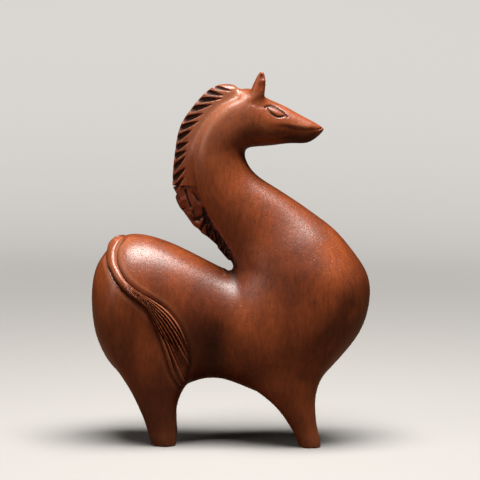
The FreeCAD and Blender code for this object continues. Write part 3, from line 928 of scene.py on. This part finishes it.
def tail_tree():
    """Raises a marked strip into a crowned strap that fans out into strands."""
    inputs = {"Geometry": "Geometry", "Proud": "Float", "Groove": "Float", "Strands": "Int",
              "Fan Start": "Float", "Let In": "Float", "Material": "Material"}
    tree, given, result = new_tree("Tail strands", "GeometryNodeTree", inputs, {"Geometry": "Geometry"})
    proud, groove, strands, fan_start, let_in = given.outputs[1:6]
    times, times_plus = partial(calc, tree, "MULTIPLY"), partial(calc, tree, "MULTIPLY_ADD")
    along = named_value(tree, "along")
    across = named_value(tree, "across")
    spots = add_node(tree, "ShaderNodeCombineXYZ", X=times(across, 7.0), Y=times(along, 2.0)).outputs[0]
    wander = add_node(tree, "ShaderNodeTexNoise", Vector=spots, Scale=1.0).outputs[0]
    strand = times(times_plus(calc(tree, "SUBTRACT", wander, 0.5), 0.10, across), strands)
    border = calc(tree, "ABSOLUTE", times_plus(calc(tree, "FRACT", strand), 2.0, -1.0))
    fan = between(tree, along, fan_start, calc(tree, "ADD", fan_start, 0.22))
    cut = times(times(groove, fan), calc(tree, "POWER", border, 1.35))
    middle = calc(tree, "ABSOLUTE", times_plus(across, 2.0, -1.0))
    rounding = calc(tree, "POWER", middle, times_plus(fan, 3.4, 2.2))
    crown = calc(tree, "SQRT", calc(tree, "MAXIMUM", calc(tree, "SUBTRACT", 1.0, rounding), 0.0))
    number = calc(tree, "FLOOR", strand)
    chance = add_node(tree, "ShaderNodeTexWhiteNoise", {"noise_dimensions": "1D"}, W=number).outputs[0]
    ending = between(tree, times_plus(chance, 0.12, along), 0.84, 1.08)
    taper = times(times_plus(ending, -1.0, 1.0), between(tree, along, 0.0, 0.06))
    height = times_plus(times(times(proud, crown), taper), times_plus(fan, -0.08, 1.0), let_in)
    height = times_plus(ending, -0.8 * MM, height)
    height = times(calc(tree, "SUBTRACT", height, cut), named_value(tree, "lift"))
    offset = add_node(tree, "ShaderNodeVectorMath", {"operation": "SCALE"},
                      i0=named_value(tree, "outward", "FLOAT_VECTOR"), Scale=height).outputs[0]
    moved = add_node(tree, "GeometryNodeSetPosition", Geometry=given.outputs["Geometry"], Offset=offset)
    return end_tree(tree, moved.outputs[0], given, result)


def notch_tree():
    """Sweeps a tapering gouge along each marked line and cuts it out of the blade."""
    inputs = {"Geometry": "Geometry", "Lines": "Object", "Radius": "Float", "Material": "Material"}
    tree, given, result = new_tree("Mane notches", "GeometryNodeTree", inputs, {"Geometry": "Geometry"})
    lines = add_node(tree, "GeometryNodeObjectInfo", Object=given.outputs["Lines"])
    curve = add_node(tree, "GeometryNodeMeshToCurve", Mesh=lines.outputs["Geometry"])
    size = calc(tree, "MULTIPLY", named_value(tree, "size"), given.outputs["Radius"])
    sized = add_node(tree, "GeometryNodeSetCurveRadius", Curve=curve.outputs[0], Radius=size)
    profile = add_node(tree, "GeometryNodeCurvePrimitiveCircle", Resolution=8, Radius=1.0)
    inputs = {"Curve": sized.outputs[0], "Profile_Curve": profile.outputs[0], "Fill_Caps": True}
    sweep = add_node(tree, "GeometryNodeCurveToMesh", **inputs)
    if "Scale" in sweep.inputs:
        tree.links.new(size, sweep.inputs["Scale"])
    cut = add_node(tree, "GeometryNodeMeshBoolean", {"operation": "DIFFERENCE", "solver": "EXACT"},
                   Mesh_1=given.outputs["Geometry"], Mesh_2=sweep.outputs[0], Self_Intersection=True)
    return end_tree(tree, cut.outputs[0], given, result)


def mane_blade():
    """The uncut blade of the mane, as a closed loft of egg-shaped sections."""
    shares = np.array(MANE_SHARES)
    table = np.column_stack([shares[:, :4] * (LENGTH, HEIGHT, LENGTH, HEIGHT), shares[:, 4]])
    rows, columns = MANE_GRID
    angles = 2 * np.pi * (np.arange(columns) + 0.5) / columns
    reach = np.cos(angles)
    part = np.where(reach > 0, MANE_FULLEST_SHARE, 1 - MANE_FULLEST_SHARE)
    down = MANE_FULLEST_SHARE - part * reach
    points = []
    for edge_x, edge_z, root_x, root_z, width in smooth_line(table, rows):
        side = np.sin(angles) * width * MANE_THICKNESS / 2
        x = edge_x + (root_x - edge_x) * down
        z = edge_z + (root_z - edge_z) * down
        points.append(np.column_stack([x, side, z]))
    index = np.arange(rows * columns).reshape(rows, columns)
    around = np.roll(index, -1, axis=1)
    quads = np.stack([index[:-1], around[:-1], around[1:], index[1:]], -1).reshape(-1, 4)
    mesh = bpy.data.meshes.new("blade")
    mesh.from_pydata(np.vstack(points).tolist(), [], [*quads.tolist(), index[0][::-1].tolist(),
                                                      index[-1].tolist()])
    face_outward(mesh)
    return mesh


def keep_between(mesh, low, high):
    """A copy of the part of a closed mesh between two heights, closed again."""
    part = bpy.data.meshes.new("part")
    with edited(part) as build:
        build.from_mesh(mesh)
        for height, up in ((low, -1), (high, 1)):
            rim = slice_along(build, (0, 0, height), (0, 0, up), 0.001 * MM)
            if rim:
                bmesh.ops.triangle_fill(build, edges=rim, use_beauty=False, normal=(0, 0, up))
        bmesh.ops.recalc_face_normals(build, faces=build.faces)
    return part


def cut_locks(mesh, depth):
    """Cut the dark lines between the coarse locks, and tell how dark each vertex gets, as old polish and
    painted shade in the cuts.
    """
    points = read_points(mesh)
    near = np.zeros(len(points))
    for width, *table in LOCK_SHARES:
        near = np.maximum(near, bell(gap_to(points[:, [0, 2]], table, 16), width * MM))
    side = ramp(np.abs(points[:, 1]), 0.3 * MM, 1.5 * MM)
    write_points(mesh, points - read_normals(mesh) * (depth * near * side)[:, None])
    return 0.55 * near


def notch_lines(table, blade, radius):
    """The line of each notch on both sides of the blade, marked with how wide it is."""
    tree = surface_tree(blade)
    points, edges, sizes = [], [], []
    steps = 8
    for edge_x, edge_z, point_x, point_z, width in table:
        start, end = side_view((edge_x, edge_z)), side_view((point_x, point_z))
        start = start + (start - end) * NOTCH_START_SHARE
        for side in (-1, 1):
            first = len(points)
            for step in range(steps):
                share = 1 - step / (steps - 1)
                x, z = end + (start - end) * share
                hit = tree.ray_cast(Vector((x, side * 0.05, z)), Vector((0, -side, 0)))[0]
                size = width * (0.10 + 0.90 * min(1.0, share * 1.5) ** 0.85)
                out = abs(hit.y) if hit else 0.0
                middle = max(out - NOTCH_SINK * size * radius, WEB / 2 + size * radius)
                points.append((x, side * middle, z))
                sizes.append(size)
            edges += [(first + step, first + step + 1) for step in range(steps - 1)]
    mesh = bpy.data.meshes.new("notch_lines")
    mesh.from_pydata(points, edges, [])
    set_attribute(mesh, "size", "FLOAT", sizes)
    return mesh


def cut_depth(mesh, uncut):
    """How far below the uncut surface each vertex lies."""
    tree = surface_tree(uncut)
    return np.array([tree.find_nearest(Vector(point))[3] for point in read_points(mesh)])


def chisel_facets(mesh, seed, count, depth):
    """Press small flat cuts into the surface, as a broad chisel leaves them."""
    points = read_points(mesh)
    normals = read_normals(mesh)
    chance = np.random.default_rng(seed)
    for index in chance.choice(len(points), count):
        normal = normals[index] + chance.normal(0, 0.22, 3)
        normal /= np.linalg.norm(normal)
        reach = (points - points[index]) @ normal + depth * chance.uniform(0.6, 1.2)
        radius = chance.uniform(3.5, 6.5) * MM
        near = 1 - ramp(np.linalg.norm(points - points[index], axis=1), 0.55 * radius, radius)
        press = (near > 0) & (reach > 0) & (reach < 1.6 * MM)
        points[press] -= (near * reach)[press, None] * normal
    write_points(mesh, points)


def grain_group():
    """Long vertical fibres, short pores and slow cloudy changes of tone."""
    if "Carved grain" in bpy.data.node_groups:
        return bpy.data.node_groups["Carved grain"]
    inputs = dict.fromkeys(("Fibre Scale", "Pore Scale", "Cloud Scale"), "Float")
    outputs = dict.fromkeys(("Tone", "Fibre", "Pores", "Height"), "Float")
    tree, given, result = new_tree("Carved grain", "ShaderNodeTree", inputs, outputs)
    place = add_node(tree, "ShaderNodeTexCoord").outputs["Object"]
    fibre_scale, pore_scale, cloud_scale = given.outputs[:3]
    noise = partial(add_node, tree, "ShaderNodeTexNoise", ())
    fibre_map, pore_map, cloud_map = [
        add_node(tree, "ShaderNodeMapping", Vector=place, Scale=(1.0, 1.0, squeeze)).outputs[0]
        for squeeze in (0.30, 0.10, 0.45)
    ]
    warp = noise(Vector=place, Scale=30.0, Detail=2.0).outputs["Color"]
    bent = add_node(tree, "ShaderNodeVectorMath", {"operation": "MULTIPLY_ADD"}, i0=warp,
                    i1=(0.004, 0.004, 0.0), i2=fibre_map).outputs[0]
    fibre = noise(Vector=bent, Scale=fibre_scale, Detail=3.0, Roughness=0.6).outputs[0]
    pores = noise(Vector=pore_map, Scale=pore_scale, Detail=1.0, Roughness=0.5).outputs[0]
    pores = between(tree, pores, 0.62, 0.74, "LINEAR")
    cloud = noise(Vector=cloud_map, Scale=cloud_scale, Detail=4.0, Roughness=0.55, Distortion=0.4)
    cloud = between(tree, cloud.outputs[0], 0.30, 0.70)
    height = calc(tree, "MULTIPLY_ADD", pores, -0.8, fibre)
    feed(tree, result, Tone=cloud, Fibre=fibre, Pores=pores, Height=height)
    return tree


def polish_wear_and_painted_light_group():
    """Darker in the hollows and where shade is marked, as old polish and painted shade, and lighter on the
    edges and where light is marked, as wear and painted light, from the carved relief and its marks.
    """
    if "Rubbed polish" in bpy.data.node_groups:
        return bpy.data.node_groups["Rubbed polish"]
    inputs = {"Color": "Color", "Stain": "Color", "Worn": "Color", "Stain Amount": "Float",
              "Wear Amount": "Float"}
    tree, given, result = new_tree("Rubbed polish", "ShaderNodeTree", inputs,
                                   {"Color": "Color", "Hollow": "Float"})
    color, stain, worn, stain_amount, wear_amount = given.outputs[:5]
    relief = add_node(tree, "ShaderNodeAttribute", {"attribute_name": "relief"}).outputs["Fac"]
    # Darker as old polish in the hollows and as painted shade where it is marked
    hollow = between(tree, relief, -0.05, -0.9)
    # Lighter as wear on the edges and as painted light where it is marked
    edge = between(tree, relief, 0.10, 0.9)
    lighter = blended(tree, calc(tree, "MULTIPLY", edge, wear_amount), color, worn)
    darker = blended(tree, calc(tree, "MULTIPLY", hollow, stain_amount), lighter, stain)
    feed(tree, result, Color=darker, Hollow=hollow)
    return tree


def new_material(name):
    """A new material, its node tree and its shader."""
    material = bpy.data.materials.new(name)
    material.use_nodes = True
    return material, material.node_tree, material.node_tree.nodes["Principled BSDF"]


def wood_material(name, color, dark, stain, worn, stain_amount, wear_amount, roughness, gloss, bump):
    """Wood with fibres, pores and cloudy tones, darker in its hollows and lighter on its edges, as old
    polish and painted shade, and as wear and painted light.
    """
    if name in bpy.data.materials:
        return bpy.data.materials[name]
    material, tree, shader = new_material(name)
    grain = add_node(tree, "ShaderNodeGroup", {"node_tree": grain_group()}, Fibre_Scale=470.0,
                     Pore_Scale=1300.0, Cloud_Scale=28.0).outputs
    toned = blended(tree, grain["Tone"], (*dark, 1.0), (*color, 1.0))
    fibre = between(tree, grain["Fibre"], 0.3, 0.7, "LINEAR", To_Min=0.80, To_Max=1.20)
    streaked = add_node(tree, "ShaderNodeVectorMath", {"operation": "SCALE"}, i0=toned, Scale=fibre)
    pored = blended(tree, calc(tree, "MULTIPLY", grain["Pores"], 0.28), streaked.outputs[0], (*stain, 1.0))
    polish_wear_and_painted_light = add_node(tree, "ShaderNodeGroup", {"node_tree": polish_wear_and_painted_light_group()}, Color=pored,
                    Stain=(*stain, 1.0), Worn=(*worn, 1.0), Stain_Amount=stain_amount,
                    Wear_Amount=wear_amount).outputs
    dull = calc(tree, "MULTIPLY_ADD", polish_wear_and_painted_light["Hollow"], 0.25, roughness)
    dull = calc(tree, "MULTIPLY_ADD", grain["Tone"], -0.08, dull)
    dull = calc(tree, "MULTIPLY_ADD", grain["Pores"], 0.10, dull)
    bright = calc(tree, "MULTIPLY_ADD", polish_wear_and_painted_light["Hollow"], -gloss, gloss)
    relief = add_node(tree, "ShaderNodeBump", Height=grain["Height"], Strength=bump, Distance=0.20 * MM)
    feed(tree, shader, Base_Color=polish_wear_and_painted_light["Color"], Roughness=dull, Normal=relief.outputs[0],
         Coat_Weight=bright, Coat_Roughness=0.30, Specular_IOR_Level=0.47)
    return material


def polished_wood():
    """The oiled, rubbed wood of the body, the ears, the upper mane and the tail."""
    wood = bpy.context.scene.carved_horse.wood
    return wood_material(
        "polished_wood", wood.body, wood.shade, wood.stain, wood.worn, stain_amount=0.85,
        wear_amount=0.45, roughness=wood.roughness, gloss=0.12, bump=0.7,
    )


def cut_wood():
    """The redder wood of the lower mane, dull from the chisel."""
    wood = bpy.context.scene.carved_horse.wood
    return wood_material(
        "chiselled_wood", *CUT_COLORS, wood.stain, wood.worn, stain_amount=0.95, wear_amount=0.30,
        roughness=wood.roughness + 0.16, gloss=0.0, bump=0.6,
    )


def dowel_wood():
    """The plain, paler wood of the hidden dowels."""
    return wood_material(
        "pale_dowel_wood", *DOWEL_COLORS, stain_amount=0.5, wear_amount=0.3, roughness=0.6, gloss=0.0,
        bump=0.5,
    )


def finish_piece(mesh, node, work, material):
    """Show a finished piece in place of its node, with its wood."""
    mesh.materials.clear()
    mesh.materials.append(material)
    mesh.shade_smooth()
    mesh.set_sharp_from_angle(angle=SHARP_EDGE)
    piece = show(mesh, f"{node}_{work}")
    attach(piece, "root")
    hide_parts(node)


class HORSE_OT_body(bpy.types.Operator):
    """Carve the two boards of the body, and leave the blanks of the ears and the mane"""

    bl_idname = "carved_horse.body"
    bl_label = "Body"

    def execute(self, context):
        settings = context.scene.carved_horse.body
        whole = fused_horse(settings)
        combine(whole.copy(), mane_curtain(MANE_REACH), "INTERSECT").name = "mane_blank"
        whole = combine(whole, mane_curtain(MANE_BED), "DIFFERENCE")
        for side, name in ((-1, "right_ear"), (1, "left_ear")):
            combine(whole.copy(), ear_box(side, EAR_REACH), "INTERSECT").name = name + "_blank"
            whole = combine(whole, ear_box(side, 0.0), "DIFFERENCE")
        for side, name in ((-1, "right_half"), (1, "left_half")):
            mesh = body_side(whole, side)
            refine(mesh, near_face)
            refine(mesh, near_eye)
            # Darker marks: old polish and painted shade in the cuts, painted shade beside the tail, below
            # the jaw, on the faces turning downwards and at the feet, and the dark joint
            painted_shade_polish_and_joint = carve_details(mesh, side, settings)
            points = read_points(mesh)
            seam = 1 - ramp(np.abs(points[:, 1]), 4 * MM, 9 * MM)
            plain = np.maximum(near_joint(points), seam)
            # Lighter marks on the crest and head: wear and painted light
            mark_relief(mesh, steps=14, depth=0.22 * MM, extra=painted_shade_polish_and_joint + rubbed_and_painted_light(points), plain=plain)
            finish_piece(mesh, name, "carved", polished_wood())
        bpy.data.meshes.remove(whole)
        return {"FINISHED"}


class HORSE_OT_ears(bpy.types.Operator):
    """Carve the two ears from their blanks"""

    bl_idname = "carved_horse.ears"
    bl_label = "Ears"

    def execute(self, context):
        for side, name in ((-1, "right_ear"), (1, "left_ear")):
            mesh = bpy.data.meshes[name + "_blank"]
            refine(mesh, everywhere)
            points = read_points(mesh)
            hollow = bell(gap_to(points[:, [0, 2]], EAR_HOLLOW_SHARES, 20), 1.3 * MM)
            outer = ramp(side * (points[:, 1] - side * 7.5 * MM), 0, 1.5 * MM)
            write_points(mesh, points - read_normals(mesh) * (0.8 * MM * outer * hollow)[:, None])
            mark_relief(mesh, steps=12, depth=0.3 * MM, plain=near_joint(points))
            finish_piece(mesh, name, "carved", polished_wood())
        return {"FINISHED"}


class HORSE_OT_mane(bpy.types.Operator):
    """Cut the two strips of the mane from their blank"""

    bl_idname = "carved_horse.mane"
    bl_label = "Mane"

    def execute(self, context):
        settings = context.scene.carved_horse.mane
        tree = notch_tree()
        broken = MANE_BREAK_SHARE * HEIGHT
        whole = bpy.data.meshes["mane_blank"]
        for name, low, high, table, wood, slot in (
            ("upper_mane", broken, HEIGHT, UPPER_NOTCH_SHARES, polished_wood(), "wood"),
            ("lower_mane", 0.3 * HEIGHT, broken, LOWER_NOTCH_SHARES, cut_wood(), "cut_wood"),
        ):
            blank = keep_between(whole, low, high)
            coarse = name == "lower_mane"
            if coarse:
                write_points(blank, read_points(blank) * (1, LOWER_MANE_SHARE, 1))
            lines = show(notch_lines(table, blank, settings.notch), "notch_lines")
            values = {"Lines": lines, "Radius": settings.notch, "Material": wood}
            mesh = apply_tree(blank.copy(), tree, values, name)
            bpy.data.objects.remove(lines)
            mesh = remesh(mesh, settings.grid)
            if coarse:
                chisel_facets(mesh, seed=4, count=90, depth=0.45 * MM)
            locks = cut_locks(mesh, settings.lock_depth)
            points = soften(read_points(mesh), read_edges(mesh), np.ones(len(mesh.vertices)), 3)
            write_points(mesh, points)
            inside = cut_depth(mesh, blank) * ramp(np.abs(points[:, 1]), 0.2 * MM, 0.8 * MM)
            # Lighter on the crest as wear and painted light, darker in the notches and the lock cuts as
            # old polish and painted shade
            shade = rubbed_and_painted_light(points) - 1.3 * ramp(inside, 0.3 * MM, 1.8 * MM) - locks
            mark_relief(mesh, steps=16, depth=0.40 * MM, extra=shade, plain=near_joint(points))
            bpy.data.meshes.remove(blank)
            finish_piece(mesh, name, "cut", wood)
        return {"FINISHED"}


class HORSE_OT_tail(bpy.types.Operator):
    """Raise the tail and its strands"""

    bl_idname = "carved_horse.tail"
    bl_label = "Tail"

    def execute(self, context):
        settings = context.scene.carved_horse.tail
        values = {
            "Proud": settings.proud,
            "Groove": settings.groove,
            "Strands": settings.strands,
            "Fan Start": settings.fan_start,
            "Let In": TAIL_BED,
            "Material": polished_wood(),
        }
        mesh = apply_tree(tail_blank(*TAIL_GRID), tail_tree(), values, "tail")
        mark_relief(mesh, steps=22, depth=0.07 * MM, extra=0.06)
        finish_piece(mesh, "tail", "strands", polished_wood())
        return {"FINISHED"}


class HORSE_OT_dowels(bpy.types.Operator):
    """Give the hidden dowels their wood"""

    bl_idname = "carved_horse.dowels"
    bl_label = "Dowels"

    def execute(self, context):
        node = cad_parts["locating_dowels"]
        node.data.materials.clear()
        node.data.materials.append(dowel_wood())
        return {"FINISHED"}


def aimed(location, aim, roll=0.0):
    """A placement that looks from one point at another."""
    back = (Vector(location) - Vector(aim)).normalized()
    turn = back.to_track_quat("Z", "Y").to_matrix() @ Matrix.Rotation(roll, 3, "Z")
    return Matrix.Translation(location) @ turn.to_4x4()


def add_lamp(name, strength, location, size, color):
    """Hang a soft rectangular lamp."""
    lamp = bpy.data.lights.new(name, "AREA")
    lamp.shape = "RECTANGLE"
    lamp.size, lamp.size_y = size
    lamp.energy = strength
    lamp.color = color
    show(lamp, name).matrix_world = aimed(location, LAMP_AIM)


def add_floor(color):
    """Lay the pale floor that curves up behind, dimmer in reflections than it looks."""
    turns = np.linspace(0, math.pi / 2, 25).tolist()
    bend = [(FLOOR_BEND * (1 + math.sin(turn)), FLOOR_BEND * (1 - math.cos(turn))) for turn in turns]
    sweep = [(-FLOOR_REACH, 0.0), *bend, (2 * FLOOR_BEND, 4.0)]
    points = [(x, y, z) for y, z in sweep for x in (-FLOOR_REACH, FLOOR_REACH)]
    faces = [(2 * row, 2 * row + 1, 2 * row + 3, 2 * row + 2) for row in range(len(sweep) - 1)]
    mesh = bpy.data.meshes.new("floor")
    mesh.from_pydata(points, [], faces)
    mesh.shade_smooth()
    material, tree, shader = new_material("floor")
    seen = add_node(tree, "ShaderNodeLightPath").outputs["Is Camera Ray"]
    shown = blended(tree, seen, (*FLOOR_REFLECTED, 1.0), (*color, 1.0))
    place = add_node(tree, "ShaderNodeTexCoord").outputs["Object"]
    away = add_node(tree, "ShaderNodeVectorMath", {"operation": "LENGTH"}, i0=place).outputs["Value"]
    away = calc(tree, "MULTIPLY", between(tree, away, 0.15, 2.2), seen)
    glow = blended(tree, away, (0.0, 0.0, 0.0, 1.0), (*(1.6 * value for value in color), 1.0))
    feed(tree, shader, Base_Color=shown, Emission_Color=glow, Emission_Strength=1.0, Roughness=0.9,
         Specular_IOR_Level=0.1)
    mesh.materials.append(material)
    show(mesh, "floor")


class HORSE_OT_stage(bpy.types.Operator):
    """Set up the floor, the lamps and the camera"""

    bl_idname = "carved_horse.stage"
    bl_label = "Stage"

    def execute(self, context):
        scene = context.scene
        settings = scene.carved_horse.stage
        if settings.show:
            add_floor(settings.floor)
        add_lamp("top", settings.key, *TOP_LAMP)
        add_lamp("left", settings.fill, *LEFT_LAMP)
        world = bpy.data.worlds.new("studio")
        world.use_nodes = True
        tree = world.node_tree
        seen = add_node(tree, "ShaderNodeLightPath").outputs["Is Camera Ray"]
        strength = calc(tree, "MULTIPLY_ADD", seen, WORLD_SEEN, WORLD_LIGHT)
        feed(tree, tree.nodes["Background"], Color=WORLD_COLOR, Strength=strength)
        scene.world = world
        scene.view_settings.view_transform = "Standard"
        camera = bpy.data.cameras.new("camera")
        camera.angle = CAMERA_FIELD
        flat = CAMERA_DISTANCE * math.cos(CAMERA_PITCH)
        back = (flat * math.sin(CAMERA_YAW), -flat * math.cos(CAMERA_YAW),
                CAMERA_DISTANCE * math.sin(CAMERA_PITCH))
        scene.camera = show(camera, "camera")
        scene.camera.matrix_world = aimed(Vector(CAMERA_AIM) + Vector(back), CAMERA_AIM, CAMERA_ROLL)
        return {"FINISHED"}


OPERATORS = (HORSE_OT_body, HORSE_OT_ears, HORSE_OT_mane, HORSE_OT_tail, HORSE_OT_dowels, HORSE_OT_stage)
GROUPS = (BodySettings, ManeSettings, TailSettings, WoodSettings, StageSettings, HorseSettings)


class HORSE_PT_panel(bpy.types.Panel):
    """Lists the steps that make the horse"""

    bl_idname = "HORSE_PT_panel"
    bl_label = "Carved horse"
    bl_space_type = "VIEW_3D"
    bl_region_type = "UI"
    bl_category = "Horse"

    def draw(self, context):
        for operator in OPERATORS:
            self.layout.operator(operator.bl_idname)
        for name in ("body", "mane", "tail", "wood", "stage"):
            box = self.layout.box()
            group = getattr(context.scene.carved_horse, name)
            for setting in group.bl_rna.properties:
                if setting.identifier in type(group).__annotations__:
                    box.prop(group, setting.identifier)


def register():
    """Make the settings, the steps and the panel known."""
    for item in GROUPS + OPERATORS + (HORSE_PT_panel,):
        bpy.utils.register_class(item)
    bpy.types.Scene.carved_horse = PointerProperty(type=HorseSettings)


def unregister():
    """Take them away again."""
    del bpy.types.Scene.carved_horse
    for item in reversed(GROUPS + OPERATORS + (HORSE_PT_panel,)):
        bpy.utils.unregister_class(item)


def main():
    """Make the horse and the stage."""
    register()
    for step in ("body", "ears", "mane", "tail", "dowels", "stage"):
        getattr(bpy.ops.carved_horse, step)()


if __name__ == "__main__":
    main()
